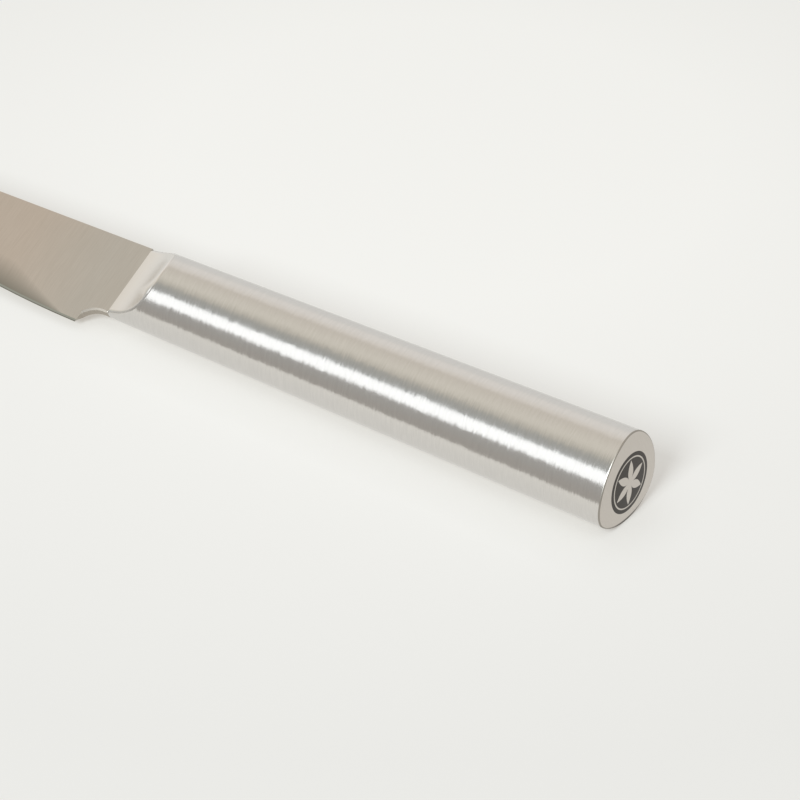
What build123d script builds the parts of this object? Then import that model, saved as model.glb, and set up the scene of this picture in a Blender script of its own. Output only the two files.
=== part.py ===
from build123d import *
from math import asin, atan, cos, degrees, pi, radians, sin, sqrt, tan
import os

# Paring knife with a forged blade and a hollow all-steel handle, in millimetres.
# Each piece is drawn in the knife's own frame: x runs from the middle of the butt
# towards the point, y from the spine line towards the cutting edge, and z out of the
# left side of the blade, with the blade's middle plane at z = 0.
# At the end the knife is laid on a level surface as it rests by itself, on one cheek
# of the handle: +Z up, +X towards the point, and the origin on that surface, under
# the middle of the knife.

# Handle
handle_length = 115.5
butt_height = 18.9
butt_thickness = 18.1
butt_bias = 0.56
neck_height = 16.3
neck_thickness = 15.6
neck_bias = 0.485
wall = 1.2
section_points = 16

# Butt cap
cap_thickness = 2.5
cap_spigot_length = 5.0
cap_spigot_wall = 1.6
crown = 0.4
rim_round = 0.25

# Neck, spigot and tang of the forging
neck_length = 14.0
spigot_length = 8.0
plunge_radius = 16.2
plunge_angle = 11.6
crease_share = 0.45
tang_length = 30.0
tang_height = 7.0
tang_thickness = 3.5
key_diameter = 3.0
key_setback = 7.0

# Blade
blade_length = 95.0
heel_height = 20.2
choil_radius = 4.8
choil_setback = 1.1
choil_round = 0.35
spine_thickness = 2.0
tip_thickness = 1.2
spine_round = 0.25
spine_straight = 47.0
tip_drop = 3.2
edge_radius = 260.0
bevel_width = 0.55
bevel_angle = 16.0
edge_land = 0.05
heel_grind_share = 0.07
tip_grind_share = 0.9
bevel_limit_share = 0.3
flare_share = 1.3
station_shares = (0.0, 0.08, 0.2, 0.34, 0.48, 0.62, 0.75, 0.86, 0.94, 0.99)

# Filler cast round the tang
filler_tail = 6.0

# How the knife rests
rest_tilt = 26.8

# Clearances
fit_gap = 0.05
overrun = 2.0


def size_at(x, at_butt, at_neck):
    """A size of the handle at x, which changes evenly from the butt to the neck."""
    return at_butt + (at_neck - at_butt) * x / handle_length


def belly_line(x):
    """How far the underside of the handle lies from the straight spine line."""
    return size_at(x, butt_height, neck_height)


def section_reach(x, angle, inset=0.0):
    """Distance from the middle of the egg-shaped section to its side, square to that side."""
    height = size_at(x, butt_height, neck_height)
    thickness = size_at(x, butt_thickness, neck_thickness)
    bias = size_at(x, butt_bias, neck_bias)
    mean = (height + thickness) / 4 - inset
    swell = (height - thickness) / 4
    reach = mean + swell * cos(2 * angle) + bias * cos(3 * angle)
    turn = -2 * swell * sin(2 * angle) - 3 * bias * sin(3 * angle)
    return reach, turn


def section_middle(x):
    """Place of the section's middle, which keeps the spine side on one straight line."""
    return belly_line(x) / 2 - size_at(x, butt_bias, neck_bias)


def section_face(x, inset=0.0):
    """The handle's cross-section at x, narrower towards the belly, shrunk all round by inset."""
    points = []
    for step in range(section_points):
        angle = 2 * pi * step / section_points
        reach, turn = section_reach(x, angle, inset)
        along = section_middle(x) + reach * cos(angle) - turn * sin(angle)
        across = reach * sin(angle) + turn * cos(angle)
        points.append((along, across))
    plane = Plane(origin=(x, 0, 0), x_dir=(0, 1, 0), z_dir=(1, 0, 0))
    return plane * make_face(Spline(*points, periodic=True))


def handle_body(start, end, inset=0.0):
    """Solid of the handle's tapered outer form between two places along it."""
    return loft([section_face(start, inset), section_face(end, inset)], ruled=True)


seam_x = handle_length - neck_length
tip_x = handle_length + blade_length
choil_x = handle_length + choil_setback
choil_y = belly_line(choil_x) + choil_radius
heel_x = choil_x + sqrt(choil_radius**2 - (choil_y - heel_height) ** 2)
heel = Vector(heel_x, heel_height)
tip = Vector(tip_x, tip_drop)


def edge_line(x):
    """How far the cutting edge, one long arc from heel to point, lies from the spine line."""
    chord = tip - heel
    rise = sqrt(edge_radius**2 - chord.length**2 / 4)
    inward = Vector(chord.Y, -chord.X).normalized()
    centre = (heel + tip) / 2 + inward * rise
    return centre.Y + sqrt(edge_radius**2 - (x - centre.X) ** 2)


def spine_line(x):
    """How far the spine drops towards the point, along an arc that leaves the straight part smoothly."""
    run = x - handle_length - spine_straight
    if run <= 0:
        return 0.0
    reach = blade_length - spine_straight
    radius = (reach**2 + tip_drop**2) / 2 / tip_drop
    return radius - sqrt(radius**2 - run**2)


def grind_section(x):
    """Wedge at x whose sides are the grind and, below it, the honed bevels, taller than the blade."""
    share = (x - handle_length) / blade_length
    bottom = edge_line(x)
    height = bottom - spine_line(x)
    half_flank = (spine_thickness + (tip_thickness - spine_thickness) * share) / 2
    half_land = edge_land / 2
    bevel = min(bevel_width, height * bevel_limit_share)
    half_bevel = half_land + bevel * tan(radians(bevel_angle))
    grind = max(height * (heel_grind_share + (tip_grind_share - heel_grind_share) * share), 2 * bevel)
    flare = (grind - bevel) * flare_share
    half_flare = half_bevel + (half_flank - half_bevel) * flare_share
    side = [
        (-overrun, half_flare),
        (bottom - bevel - flare, half_flare),
        (bottom - bevel, half_bevel),
        (bottom, half_land),
    ]
    other = [(y, -z) for y, z in reversed(side)]
    plane = Plane(origin=(x, 0, 0), x_dir=(0, 1, 0), z_dir=(1, 0, 0))
    return plane * make_face(Polyline(*side, *other, close=True))


def blade_outline():
    """Side view of the blade: straight spine that curves down to the point, and room for the edge."""
    straight_end = (handle_length + spine_straight, 0)
    spine = Line((handle_length, 0), straight_end)
    drop = TangentArc(straight_end, (tip_x, tip_drop), tangent=(1, 0))
    below = heel_height + overrun
    rest = Polyline((tip_x, tip_drop), (tip_x, below), (handle_length, below), (handle_length, 0))
    return extrude(make_face([spine, drop, rest]), amount=spine_thickness, both=True)


def blade_slab():
    """Bar that the blade is ground from: its flat flanks draw closer to the point, and its back is eased."""
    half_neck = spine_thickness / 2
    half_tip = tip_thickness / 2
    corners = [
        (handle_length, -half_neck),
        (tip_x, -half_tip),
        (tip_x, half_tip),
        (handle_length, half_neck),
    ]
    taper = extrude(Plane.XZ * make_face(Polyline(*corners, close=True)), amount=2 * heel_height, both=True)
    slab = blade_outline() & taper
    back = [edge for edge in slab.edges() if is_back_edge(edge)]
    return fillet(back, spine_round)


def is_back_edge(edge):
    """The two long edges on each side of the blade's back, from the neck to the point."""
    place = edge.center()
    return place.Y < tip_drop and abs(place.Z) > tip_thickness / 4 and edge.length > spine_thickness


def blade_blank():
    """Blade from the neck to the point, with the choil notch cut in front of the neck."""
    ground = loft([grind_section(handle_length + blade_length * share) for share in station_shares])
    body = ground & blade_slab()
    depth = 2 * spine_thickness
    notch = Pos(choil_x, choil_y, 0) * Cylinder(choil_radius, depth)
    low = Box(
        choil_x - handle_length + overrun,
        heel_height,
        depth,
        align=(Align.MAX, Align.MIN, Align.CENTER),
    )
    return body - notch - Pos(choil_x, choil_y - choil_radius, 0) * low


def hollow_cutter():
    """What the wheel takes off the left side of the neck: a hollow that runs out on the blade's flank."""
    plane = Plane(origin=(handle_length, 0, spine_thickness / 2), x_dir=(1, 0, 0), z_dir=(0, -1, 0))
    lift = radians(plunge_angle)
    centre_x = plunge_radius * sin(lift)
    centre_y = plunge_radius * cos(lift)
    top = neck_thickness / 2 + overrun
    end_turn = asin((centre_y - top) / plunge_radius)
    mid_turn = (end_turn + pi / 2 - lift) / 2
    arc_end = (centre_x - plunge_radius * cos(end_turn), top)
    arc_middle = (centre_x - plunge_radius * cos(mid_turn), centre_y - plunge_radius * sin(mid_turn))
    hollow = ThreePointArc((0, 0), arc_middle, arc_end)
    rest = Polyline(arc_end, (overrun, top), (overrun, 0), (0, 0))
    return extrude(plane * make_face([hollow, rest]), amount=2 * heel_height, both=True)


def tang_body(gap=0.0):
    """Flat stub tang behind the spigot, larger all round by gap."""
    tang_x = seam_x - spigot_length
    stub = Box(
        tang_length + gap,
        tang_height + 2 * gap,
        tang_thickness + 2 * gap,
        align=(Align.MAX, Align.CENTER, Align.CENTER),
    )
    return Pos(tang_x, section_middle(tang_x), 0) * stub


def key_body(gap=0.0):
    """Round key through the tang, smaller by gap, as long as the tang is thick and a little more."""
    tang_x = seam_x - spigot_length
    key_x = tang_x - tang_length + key_setback
    pin = Cylinder(key_diameter / 2 - gap, tang_thickness + overrun)
    return Pos(key_x, section_middle(tang_x), 0) * pin


def is_crease(edge):
    """The long edge on each side where the neck's hollow meets the round of the handle."""
    place = edge.center()
    return seam_x < place.X < handle_length and abs(place.Z) > neck_thickness / 4 and edge.length > neck_length


def choil_easing():
    """Cone that takes the sharp corner off the choil notch on the left side."""
    depth = choil_round + overrun
    cone = Cone(choil_radius, choil_radius + depth, depth, align=(Align.CENTER, Align.CENTER, Align.MIN))
    return Pos(choil_x, choil_y, spine_thickness / 2 - choil_round) * cone


def make_blade():
    """Forging: blade, hollow-ground neck, spigot that enters the handle, and stub tang."""
    neck = handle_body(seam_x, handle_length)
    cutter = hollow_cutter()
    neck = neck - cutter - mirror(cutter, about=Plane.XY)
    creases = [edge for edge in neck.edges() if is_crease(edge)]
    neck = fillet(creases, spine_thickness * crease_share)
    forging = blade_blank() + neck
    easing = choil_easing()
    forging = forging - easing - mirror(easing, about=Plane.XY)
    spigot = handle_body(seam_x - spigot_length, seam_x, wall + fit_gap)
    return forging + spigot + (tang_body() - key_body())


def make_shell(side):
    """One pressed half of the hollow handle, from the butt cap to the neck of the forging."""
    tube = handle_body(cap_thickness, seam_x)
    tube = tube - handle_body(cap_thickness, seam_x, wall)
    return split(tube, bisect_by=Plane.XY, keep=side)


def make_butt_cap():
    """Turned plug that closes the handle: lightly crowned face and a hollow spigot inside the shells."""
    disc = handle_body(0, cap_thickness)
    crown_reach = butt_height / 2
    crown_radius = (crown_reach**2 + crown**2) / 2 / crown
    disc = disc & Pos(crown_radius, butt_height / 2, 0) * Sphere(crown_radius)
    rim = disc.edges().group_by(Axis.X)[0]
    disc = fillet(rim, rim_round)
    end_x = cap_thickness + cap_spigot_length
    spigot = handle_body(cap_thickness, end_x, wall + fit_gap)
    spigot = spigot - handle_body(cap_thickness, end_x, wall + fit_gap + cap_spigot_wall)
    return disc + spigot


def make_filler():
    """Filler cast inside the shells behind the spigot, round the tang and through its hole."""
    front = seam_x - spigot_length
    back = front - tang_length - filler_tail
    cast = handle_body(back, front, wall + fit_gap)
    return cast - tang_body(fit_gap) + key_body(fit_gap)


def rest_turn():
    """Turns that lay the knife on one cheek: a roll about x, then a small dip to the front."""
    down = radians(90 - rest_tilt)
    depths = []
    for x in (0, handle_length):
        reach, _ = section_reach(x, down)
        depths.append(reach + section_middle(x) * cos(down))
    dip = degrees(atan((depths[0] - depths[1]) / handle_length))
    return Rot(0, dip, 0) * Rot(-rest_tilt, 0, 0)


pieces = {
    "blade": make_blade(),
    "handle_shell_left": make_shell(Keep.TOP),
    "handle_shell_right": make_shell(Keep.BOTTOM),
    "butt_cap": make_butt_cap(),
    "tang_filler": make_filler(),
}

turn = rest_turn()
box = Compound([turn * piece for piece in pieces.values()]).bounding_box()
placing = Pos(-box.center().X, -box.center().Y, -box.min.Z) * turn

os.makedirs("parts", exist_ok=True)
for name, piece in pieces.items():
    export_step(placing * piece, f"parts/{name}.step")
    print(name, "volume", round(piece.volume, 2))
print("size", box.size)
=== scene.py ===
import bpy
from math import atan2, cos, pi, radians, sin
from mathutils import Euler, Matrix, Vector

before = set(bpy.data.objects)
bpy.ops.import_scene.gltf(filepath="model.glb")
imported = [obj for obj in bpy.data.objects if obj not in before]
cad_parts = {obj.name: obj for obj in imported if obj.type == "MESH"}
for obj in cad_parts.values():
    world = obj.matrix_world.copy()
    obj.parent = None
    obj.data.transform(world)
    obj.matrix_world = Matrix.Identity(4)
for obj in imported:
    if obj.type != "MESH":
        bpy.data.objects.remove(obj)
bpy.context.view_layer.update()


# Blade
# Forged from one bar of stainless steel with its neck, spigot and stub tang. The neck is
# ground hollow on both sides by a wheel, its round is belted with the handle, the flats are
# brushed across the blade, and the edge is honed.

# The knife lies rolled onto one cheek of its handle, so its finishes are placed in its own
# directions: x from the butt, y from the spine line to the edge, z out of the left side.
butt_on_spine_line = (-0.104718, -0.008347, 0.012587)
rest_turn = (radians(-26.8), radians(0.862), 0)
own_directions = Euler(rest_turn).to_matrix()
towards_edge = tuple(own_directions.col[1])
left = tuple(own_directions.col[2])

# The egg section of the handle at its two ends
handle_length = 0.1155
butt_height = 0.0189
butt_thickness = 0.0181
butt_bias = 0.00056
neck_height = 0.0163
neck_thickness = 0.0156
neck_bias = 0.000485

# The wheel that grinds the hollow of the neck, and the crease that it leaves at the round
half_spine = 0.001
wheel_radius = 0.0162
wheel_lift = radians(11.6)
wheel_axis_x = handle_length + wheel_radius * sin(wheel_lift)
wheel_axis_z = half_spine + wheel_radius * cos(wheel_lift)
round_blend = (0.0001, 0.0004)
crease_x = 0.1085
crease_depth = (0.0002, 0.0045)
crease_bearing_starts = (0.7, 1.1)
crease_bearing_ends = (1.9, 2.4)

# The cutting edge, one long arc from the heel to the point, and what is ground above it
heel = Vector((0.12132, 0.0202))
point = Vector((0.2105, 0.0032))
edge_radius = 0.26
chord = point - heel
arc_rise = (edge_radius**2 - chord.length_squared / 4) ** 0.5
arc_middle = (heel + point) / 2 + Vector((chord.y, -chord.x)).normalized() * arc_rise
honed_width = 0.0002
bevel_width = 0.00055
line_blur = 0.0001
grind_start = 0.1235
grind_growth = 0.34
grind_least = 0.0001
grind_limit = 0.006
point_stretch = (0.2068, 0.2071)

# How far a face has turned to the side, or to the edge, where it starts to be flat, arris or notch
flat_turn = (0.3, 0.35)
arris_turn = (0.8, 0.88)
notch_turn = (0.2, 0.4)

# Tints of the steel, each darker streak before its paler one, and where they change along x
belt_tints = ((0.685, 0.67, 0.65), (0.725, 0.71, 0.69))
heel_tints = ((0.54, 0.515, 0.475), (0.59, 0.565, 0.525))
front_tints = ((0.57, 0.505, 0.445), (0.62, 0.555, 0.495))
front_starts = (0.128, 0.148)
front_waver = 0.01
streak_limits = (0.3, 0.7)
# Painted dark reflection low on the blade above the bevel, and how much of it shows at the edge
painted_grind_reflection_tint = (0.2, 0.2, 0.175)
painted_grind_reflection_share = 0.85
# Painted reflections of the bevel and the honed edge, which are shaded as the flat plane
painted_bevel_reflection_tint = (0.37, 0.39, 0.36)
painted_honed_reflection_tint = (0.17, 0.17, 0.15)
hollow_tint = (0.82, 0.8, 0.765)
# Painted shade in the notch at the heel
painted_notch_shade_tint = (0.45, 0.41, 0.357)
# Painted highlight along the eased arrises, which are shaded as the flat plane
painted_arris_highlight_tint = (0.8, 0.79, 0.77)

# Lengths of the grain along x, y and z, how far it tilts the steel, and how rough the steel is
belt_lines = (0.0002, 0.003, 0.003)
belt_clouds = (0.0003, 0.004, 0.004)
belt_scratches = (0.00007, 0.003, 0.003)
belt_depth = 0.17
belt_roughness = 0.1
belt_roughness_change = 0.08
flat_lines = (0.0002, 0.006, 0.006)
flat_clouds = (0.02, 0.02, 0.02)
flat_scratches = (0.00014, 0.003, 0.003)
flat_depth = 0.06
flat_roughness = 0.24
flat_roughness_change = 0.12
notch_extra_roughness = 0.3
fine_detail = 3


def egg_section(x):
    """The handle's section at x: its middle's place on y, mean reach, swell, and bias to the belly."""
    share = x / handle_length
    height = butt_height + (neck_height - butt_height) * share
    thickness = butt_thickness + (neck_thickness - butt_thickness) * share
    bias = butt_bias + (neck_bias - butt_bias) * share
    return height / 2 - bias, (height + thickness) / 4, (height - thickness) / 4, bias


class Reading:
    """A value that varies over a surface. Arithmetic on it adds the Math node that works it out."""

    def __init__(self, finish, socket):
        self.finish = finish
        self.socket = socket

    def math(self, operation, *others):
        return self.finish.node("ShaderNodeMath", {"operation": operation}, dict(enumerate((self, *others))))

    def __add__(self, other):
        return self.math("ADD", other)

    __radd__ = __add__

    def __sub__(self, other):
        return self.math("SUBTRACT", other)

    def __rsub__(self, other):
        return self * -1 + other

    def __mul__(self, other):
        return self.math("MULTIPLY", other)

    __rmul__ = __mul__

    def __truediv__(self, other):
        return self.math("DIVIDE", other)

    def __pow__(self, other):
        return self.math("POWER", other)

    def __abs__(self):
        return self.math("ABSOLUTE")


class Finish:
    """A finish in the making, on a material or on the room, and one way to add any node to it."""

    def __init__(self, owner):
        self.owner = owner
        owner.use_nodes = True
        self.tree = owner.node_tree
        self.tree.nodes.clear()

    def node(self, kind, settings=None, sockets=None, output=0):
        """Adds a node, sets it up, then fills its sockets with numbers, colours or other readings."""
        made = self.tree.nodes.new(kind)
        for key, value in (settings or {}).items():
            if key == "stops":
                ramp = made.color_ramp.elements
                while len(ramp) < len(value):
                    ramp.new(1)
                for stop, (place, colour) in zip(ramp, value):
                    stop.position = place
                    stop.color = (*colour, 1)
            else:
                setattr(made, key, value)
        for key, value in (sockets or {}).items():
            if isinstance(value, Reading):
                self.tree.links.new(value.socket, made.inputs[key])
            else:
                made.inputs[key].default_value = value
        return Reading(self, made.outputs[output]) if made.outputs else None

    def place(self):
        """Where the point lies in the knife's own directions, in metres."""
        spot = self.node("ShaderNodeTexCoord", {}, {}, "Object")
        sockets = {"Vector": spot, "Location": butt_on_spine_line, "Rotation": rest_turn}
        return self.node("ShaderNodeMapping", {"vector_type": "TEXTURE"}, sockets)

    def axes(self, vector):
        """The three numbers of a place, each as a reading."""
        parts = self.node("ShaderNodeSeparateXYZ", {}, {0: vector}).socket.node
        return [Reading(self, socket) for socket in parts.outputs]

    def vector(self, operation, *inputs, scale=1.0, output=0):
        """Works out a vector, or as output 1 a number, from others."""
        sockets = {**dict(enumerate(inputs)), 3: scale}
        return self.node("ShaderNodeVectorMath", {"operation": operation}, sockets, output)

    def facing(self):
        """The way that the surface faces."""
        return self.node("ShaderNodeNewGeometry", {}, {}, "Normal")

    def turned_towards(self, facing, direction):
        """How far a facing has turned to a direction: 1 all the way, 0 square to it."""
        return self.vector("DOT_PRODUCT", facing, direction, output=1)

    def turned_part_way(self, facing, other, share):
        """A facing turned by a share of the way towards another."""
        change = self.vector("SUBTRACT", other, facing)
        return self.vector("ADD", facing, self.vector("SCALE", change, scale=share))

    def rise(self, value, low, high):
        """0 up to low, 1 from high on, and even between."""
        sockets = {"Value": value, "From Min": low, "From Max": high}
        return self.node("ShaderNodeMapRange", {"clamp": True}, sockets)

    def fall(self, value, low, high):
        """1 up to low, 0 from high on, and even between."""
        return 1 - self.rise(value, low, high)

    def grain(self, place, size, detail=2, output=0):
        """Uneven grain from 0 to 1, with cells of the given length each way."""
        sockets = {"Vector": place, "Scale": tuple(1 / length for length in size)}
        cells = self.node("ShaderNodeMapping", {"vector_type": "POINT"}, sockets)
        sockets = {"Vector": cells, "Scale": 1, "Detail": detail, "Roughness": 0.6}
        return self.node("ShaderNodeTexNoise", {}, sockets, output)

    def scratches(self, place, size, depth):
        """How far fine scratches tilt the surface: each one a little its own way."""
        ways = self.grain(place, size, output=1)
        return self.vector("SCALE", self.vector("SUBTRACT", ways, (0.5, 0.5, 0.5)), scale=depth)

    def between(self, factor, first, second):
        """A colour between two others."""
        sockets = {0: factor}
        for key, colour in ((6, first), (7, second)):
            sockets[key] = colour if isinstance(colour, Reading) else (*colour, 1)
        return self.node("ShaderNodeMix", {"data_type": "RGBA"}, sockets, 2)

    def streaked(self, lines, tints):
        """A tint streaked by its grain."""
        return self.between(self.rise(lines, *streak_limits), *tints)

    def belted(self, place):
        """What a belt turned round the handle leaves: tint, roughness, and the tilt of its fine lines."""
        tint = self.streaked(self.grain(place, belt_lines), belt_tints)
        roughness = self.grain(place, belt_clouds) * belt_roughness_change + belt_roughness
        return tint, roughness, self.scratches(place, belt_scratches, belt_depth)

    def in_section(self, down, aside, section):
        """Where a place lies in the handle's section: its bearing from the middle, and its depth."""
        middle, mean_reach, swell, bias = section
        from_middle = down - middle
        bearing = aside.math("ARCTAN2", from_middle)
        reach = (bearing * 2).math("COSINE") * swell + (bearing * 3).math("COSINE") * bias + mean_reach
        return bearing, reach - (from_middle * from_middle + aside * aside) ** 0.5

    def metal(self, tint, roughness, tilt, metallic=1, facing=None):
        """Ends the finish: bare metal, its face tilted this way and that by scratches."""
        normal = self.vector("NORMALIZE", self.vector("ADD", facing or self.facing(), tilt))
        sockets = {"Base Color": tint, "Roughness": roughness, "Metallic": metallic, "Normal": normal}
        surface = self.node("ShaderNodeBsdfPrincipled", {}, sockets)
        self.node("ShaderNodeOutputMaterial", {}, {"Surface": surface})
        return self.owner


def wear(node, material):
    """Puts a finish on a piece."""
    node.data.materials.clear()
    node.data.materials.append(material)


# The neck: its round, and the hollow that the wheel leaves on each side
forged = Finish(bpy.data.materials.new("blade_forged"))
here = forged.place()
along, down, aside = forged.axes(here)
from_axis_x = along - wheel_axis_x
from_axis_z = abs(aside) - wheel_axis_z
from_wheel = (from_axis_x * from_axis_x + from_axis_z * from_axis_z) ** 0.5 - wheel_radius
on_neck = forged.fall(along, handle_length - line_blur, handle_length)
on_round = on_neck * forged.rise(from_wheel, *round_blend)
in_hollow = on_neck - on_round

# The blade: its grind, bevel and honed edge by their distance from the edge, and its faces
from_arc_x = along - arc_middle.x
edge_line = (edge_radius**2 - from_arc_x * from_arc_x) ** 0.5 + arc_middle.y
above_edge = edge_line - down
grind_height = (along - grind_start) * grind_growth
grind_height = grind_height.math("MAXIMUM", grind_least).math("MINIMUM", grind_limit)
grind = (1 - above_edge / grind_height).math("MAXIMUM", 0)
facing = forged.facing()
side = forged.turned_towards(facing, left)
at_point = forged.rise(along, *point_stretch)
on_flat = ((1 - on_neck) * forged.rise(abs(side), *flat_turn)).math("MAXIMUM", at_point)
on_arris = on_flat * forged.fall(abs(side), *arris_turn) * (1 - at_point)
on_bevel = on_flat * forged.fall(above_edge, bevel_width - line_blur, bevel_width)
on_edge = on_flat * forged.fall(above_edge, honed_width - line_blur, honed_width)
in_notch = forged.rise(forged.turned_towards(facing, towards_edge), *notch_turn)
in_notch = in_notch * (1 - on_neck) * (1 - on_flat)

# The flats mirror as true planes, and the hollow softens into the round at its crease
flat = forged.vector("SCALE", left, scale=side.math("SIGN"))
facing = forged.turned_part_way(facing, flat, on_flat)
bearing, depth = forged.in_section(down, aside, egg_section(crease_x))
by_crease = in_hollow * forged.fall(depth, *crease_depth)
by_crease = by_crease * forged.rise(abs(bearing), *crease_bearing_starts)
by_crease = by_crease * forged.fall(abs(bearing), *crease_bearing_ends)
round_y = forged.vector("SCALE", towards_edge, scale=bearing.math("COSINE"))
round_z = forged.vector("SCALE", left, scale=bearing.math("SINE"))
facing = forged.turned_part_way(facing, forged.vector("ADD", round_y, round_z), by_crease)

belt_tint, belt_gloss, belt_tilt = forged.belted(here)
lines = forged.grain(here, flat_lines, fine_detail)
drift = forged.grain(here, flat_clouds)
in_front = forged.rise(along + drift * front_waver, *front_starts)
tint = forged.between(in_front, forged.streaked(lines, heel_tints), forged.streaked(lines, front_tints))
# Darker towards the edge up the ground band: a painted dark reflection, as the flat is shaded as one plane
tint = forged.between(grind * painted_grind_reflection_share, tint, painted_grind_reflection_tint)
# Painted reflections of the bevel and the honed edge
tint = forged.between(on_bevel, tint, painted_bevel_reflection_tint)
tint = forged.between(on_edge, tint, painted_honed_reflection_tint)
tint = forged.between(in_hollow, tint, hollow_tint)
# Painted shade in the notch
tint = forged.between(in_notch, tint, painted_notch_shade_tint)
# Painted highlight along the arrises
tint = forged.between(on_arris, tint, painted_arris_highlight_tint)
tint = forged.between(on_round, tint, belt_tint)
flat_gloss = drift * flat_roughness_change + in_notch * notch_extra_roughness + flat_roughness
gloss = on_round * belt_gloss + (1 - on_round) * flat_gloss
belt_tilt = forged.vector("SCALE", belt_tilt, scale=on_round)
flat_tilt = forged.scratches(here, flat_scratches, flat_depth)
flat_tilt = forged.vector("SCALE", flat_tilt, scale=1 - on_round)
tilt = forged.vector("ADD", belt_tilt, flat_tilt)
wear(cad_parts["blade"], forged.metal(tint, gloss, tilt, facing=facing))


# Handle shells
# Two pressed halves of stainless sheet, welded along the spine and the belly and ground
# flush. A belt turned round the handle leaves its fine lines running round it.
halves = Finish(bpy.data.materials.new("handle_belted"))
belted_handle = halves.metal(*halves.belted(halves.place()))
for name in ("handle_shell_left", "handle_shell_right"):
    wear(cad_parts[name], belted_handle)


# Butt cap
# A turned stainless plug welded into the end of the handle, with its side belted like the
# handle. Its flat face is etched dark in a disc that leaves a six-petalled rosette bright.
towards_butt = tuple(-own_directions.col[0])
face_turn = (0.98, 0.992)
rim_turn = (0.06, 0.2)
mark_centre = (0, 0.00899, -0.0004)
mark_radius = 0.006
circle_radius = 0.00505
circle_half_width = 0.00011
heart_radius = 0.0006
petals = 6
petal_length = 0.0047
petal_half_width = 0.00085
etched_edge = 0.00005
# Width and side of the painted contact shade at the foot of the face
contact_width = (0.0005, 0.0007)
contact_side = (-0.95, -0.7)
face_lines = (0.003, 0.00015, 0.003)
face_tints = ((0.625, 0.583, 0.536), (0.66, 0.62, 0.572))
# Painted dark reflection in the rounded rim round the face
painted_rim_reflection_tint = (0.36, 0.335, 0.3)
# Painted contact shade
painted_contact_shade_tint = (0.09, 0.08, 0.07)
etched_tint = (0.024, 0.017, 0.011)
face_roughness = 0.28
etched_extra_roughness = 0.15
rim_roughness = 0.4
face_depth_share = 0.1

# The face, the rim round it and the belted side, by the way that they face
turned = Finish(bpy.data.materials.new("butt_etched"))
here = turned.place()
turn = turned.turned_towards(turned.facing(), towards_butt)
on_face = turned.rise(turn, *face_turn)
on_rim = turned.rise(turn, *rim_turn) - on_face
on_side = 1 - on_face - on_rim

# The etched disc, and the ring, petals and heart that it leaves bright
_, down, out = turned.axes(turned.vector("SUBTRACT", here, mark_centre))
radius = (down * down + out * out) ** 0.5
circle = turned.fall(abs(radius - circle_radius), circle_half_width, circle_half_width + etched_edge)
heart = turned.fall(radius, heart_radius, heart_radius + etched_edge)
sector = out.math("ARCTAN2", down).math("WRAP", pi / petals, -pi / petals)
off_petal = radius * abs(sector.math("SINE"))
petal = (radius * (pi / petal_length)).math("SINE") * petal_half_width - off_petal
petal = turned.rise(petal, 0, etched_edge) * turned.fall(radius, petal_length - etched_edge, petal_length)
bright = circle.math("MAXIMUM", petal).math("MAXIMUM", heart)
etched = turned.fall(radius, mark_radius - etched_edge, mark_radius) * (1 - bright) * on_face

# A painted shade: the dark line on the rim where the face meets the table
_, down, out = turned.axes(here)
bearing, depth = turned.in_section(down, out, egg_section(0))
in_painted_contact_shade = turned.fall((bearing + rest_turn[0]).math("SINE"), *contact_side)
in_painted_contact_shade = in_painted_contact_shade * turned.fall(depth, *contact_width)

belt_tint, belt_gloss, belt_tilt = turned.belted(here)
face_tint = turned.streaked(turned.grain(here, face_lines, fine_detail), face_tints)
tint = turned.between(on_face, belt_tint, face_tint)
# Painted dark reflection in the rim
tint = turned.between(on_rim, tint, painted_rim_reflection_tint)
tint = turned.between(in_painted_contact_shade, tint, painted_contact_shade_tint)
tint = turned.between(etched, tint, etched_tint)
face_gloss = etched * etched_extra_roughness + face_roughness
gloss = on_side * belt_gloss + on_rim * rim_roughness + on_face * face_gloss
tilt_share = on_side * (1 - face_depth_share) + face_depth_share
tilt = turned.vector("SCALE", belt_tilt, scale=tilt_share)
wear(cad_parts["butt_cap"], turned.metal(tint, gloss, tilt, 1 - etched))


# Tang filler
# Resin cast round the tang inside the closed handle, where nothing shows it. It sets with a
# dull, slightly clouded and pitted skin.
resin_clouds = (0.004, 0.004, 0.004)
resin_detail = 4
resin_tints = ((0.5, 0.46, 0.38), (0.6, 0.56, 0.47))
resin_pits = (0.001, 0.001, 0.001)
pit_depth = 0.1
resin_roughness = 0.5
resin_roughness_change = 0.2
cast = Finish(bpy.data.materials.new("filler_resin"))
here = cast.place()
cloud = cast.grain(here, resin_clouds, resin_detail)
tint = cast.between(cloud, *resin_tints)
gloss = cloud * resin_roughness_change + resin_roughness
pits = cast.scratches(here, resin_pits, pit_depth)
wear(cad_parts["tang_filler"], cast.metal(tint, gloss, pits, 0))


# Table
# A sheet of white translucent plastic, lit from below too, so the shadows on it are faint but
# for a narrow one close to the knife. In what the steel mirrors, and only there, the sheet is
# painted dark a little in front of the knife: a painted reflection that draws the dark band
# along the handle.
table_size = 8
# The white is painted brightest round a spot beyond the knife and fades away from it: a painted pool of
# light
brightest = (0, -0.09, 0)
bright_reach = (0.06, 0.2)
bright_white = (0.955, 0.935, 0.893)
far_white = (0.855, 0.837, 0.8)
# Close round the knife the glow darkens and warms by occlusion: a painted shadow
covered_reach = 0.012
covered_tint = (0.63, 0.59, 0.53)
covered_samples = 8
# In what the steel mirrors, the table is painted darker near the knife: a painted shade of the knife
near_reach = (0.004, 0.03)
near_mirrored = (0.76, 0.745, 0.712)
far_mirrored = (0.89, 0.865, 0.81)
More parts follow.
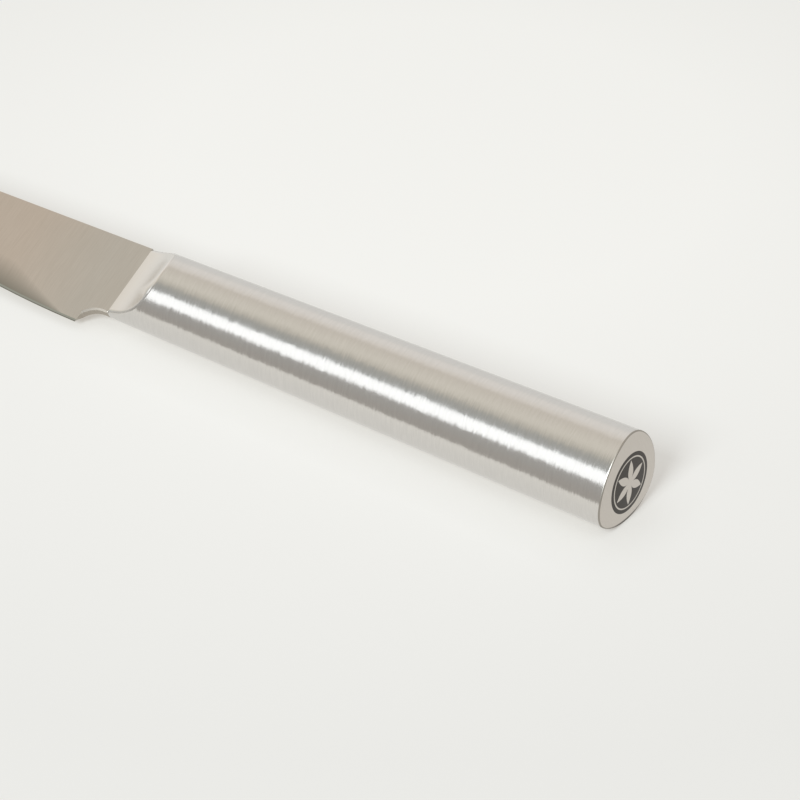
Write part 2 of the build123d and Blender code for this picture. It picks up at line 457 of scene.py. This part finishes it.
# Painted dark reflection: in what the steel mirrors, the table is dark from this far in front on
unlit_start = (0.039, 0.041)
unlit_mirrored = (0.44, 0.42, 0.39)
lit_through = 0.58
mirrored_through = 0.8
bpy.ops.mesh.primitive_plane_add(size=table_size)
table = bpy.context.object
table.name = "table"
sheet = Finish(bpy.data.materials.new("table_white"))
spot = sheet.node("ShaderNodeTexCoord", {}, {}, "Object")
_, forward, _ = sheet.axes(spot)
away = sheet.vector("LENGTH", sheet.vector("SUBTRACT", spot, brightest), output=1)
white = sheet.between(sheet.rise(away, *bright_reach), bright_white, far_white)
rays = sheet.node("ShaderNodeLightPath").socket.node.outputs
mirrored = Reading(sheet, rays["Is Glossy Ray"])
seen = Reading(sheet, rays["Is Camera Ray"]) + Reading(sheet, rays["Is Transmission Ray"])
# Painted dark reflection in front of the knife
unlit = mirrored * sheet.rise(forward, *unlit_start)
occlusion = {"samples": covered_samples}
# Painted shadow close round the knife
open_above = sheet.node("ShaderNodeAmbientOcclusion", occlusion, {"Distance": covered_reach}, 1)
glow = sheet.between(open_above, covered_tint, white)
# Painted shade near the knife, in what the steel mirrors
mirror_image = sheet.between(sheet.rise(forward, *near_reach), near_mirrored, far_mirrored)
mirror_image = sheet.between(unlit, mirror_image, unlit_mirrored)
glow = sheet.between(mirrored, glow, mirror_image)
lit = sheet.node("ShaderNodeBsdfDiffuse", {}, {"Color": white})
through = sheet.node("ShaderNodeEmission", {}, {"Color": glow, "Strength": 1})
share = seen * lit_through + mirrored * mirrored_through + unlit * (1 - mirrored_through)
surface = sheet.node("ShaderNodeMixShader", {}, {0: share, 1: lit, 2: through})
sheet.node("ShaderNodeOutputMaterial", {}, {"Surface": surface})
sheet.owner.cycles.emission_sampling = "NONE"
wear(table, sheet.owner)


# Studio light
# A pale room whose brightness changes with the angle round the knife, one long soft box that
# draws the highlight along the handle, and a lamp beside the camera that lights the table.

# Colours of the room from the horizon in front, over the top, to the horizon behind, placed by
# share of that half turn: unlit in front, warm overhead and bright behind
walls_by_turn = [
    (0.0, (0.44, 0.425, 0.4)),
    (0.22, (0.45, 0.46, 0.45)),
    (0.275, (0.45, 0.45, 0.42)),
    (0.315, (0.64, 0.61, 0.54)),
    (0.36, (0.78, 0.74, 0.66)),
    (0.4, (0.8, 0.76, 0.68)),
    (0.53, (0.73, 0.68, 0.61)),
    (0.58, (0.86, 0.815, 0.755)),
    (0.67, (0.9, 0.87, 0.83)),
    (0.74, (0.9, 0.87, 0.83)),
    (0.85, (0.81, 0.8, 0.775)),
    (1.0, (0.78, 0.775, 0.755)),
]
backdrop_white = (0.88, 0.87, 0.84)
room_strength = 0.4
room = Finish(bpy.data.worlds.new("room"))
bpy.context.scene.world = room.owner
_, forward, up = room.axes(room.node("ShaderNodeTexCoord", {}, {}, "Generated"))
half_turns = up.math("ARCTAN2", forward) * (1 / pi)
walls = room.node("ShaderNodeValToRGB", {"stops": walls_by_turn}, {0: half_turns})
rays = room.node("ShaderNodeLightPath").socket.node.outputs
in_view = Reading(room, rays["Is Camera Ray"])
seen = in_view + Reading(room, rays["Is Glossy Ray"]) + Reading(room, rays["Is Transmission Ray"])
strength = seen * (1 - room_strength) + room_strength
sockets = {"Color": room.between(in_view, walls, backdrop_white), "Strength": strength}
backdrop = room.node("ShaderNodeBackground", {}, sockets)
room.node("ShaderNodeOutputWorld", {}, {"Surface": backdrop})
room.owner.cycles.sampling_method = "NONE"


def lamp(bearing, height, distance, size, power, colour):
    """A soft box that faces the knife's long axis, placed by its angles from the point's direction."""
    x = distance * cos(radians(height)) * cos(radians(bearing))
    y = distance * cos(radians(height)) * sin(radians(bearing))
    z = distance * sin(radians(height))
    bpy.ops.object.light_add(type="AREA", location=(x, y, z))
    made = bpy.context.object
    made.rotation_euler.x = atan2(z, y) - pi / 2
    made.data.shape = "RECTANGLE"
    made.data.size, made.data.size_y = size
    made.data.energy = power
    made.data.color = colour


lamp(bearing=58.3, height=23.4, distance=1.2, size=(1.3, 0.37), power=1.6, colour=(0.94, 0.97, 1))
lamp(bearing=99, height=36, distance=3, size=(1, 1), power=100, colour=(0.86, 0.94, 1))


# Camera
# A long lens that looks down at the table from behind the butt, on the side of the edge. There
# is no depth of field, so all of the knife is sharp.
camera_place = (-0.349906, 0.414379, 0.347491)
camera_turn = (radians(56.1524), radians(-0.4181), radians(-144.2496))
bpy.ops.object.camera_add(location=camera_place, rotation=camera_turn)
camera = bpy.context.object
camera.data.lens = 148.5
camera.data.sensor_width = 36
camera.data.clip_start = 0.01
bpy.context.scene.camera = camera
bpy.context.scene.view_settings.view_transform = "Standard"
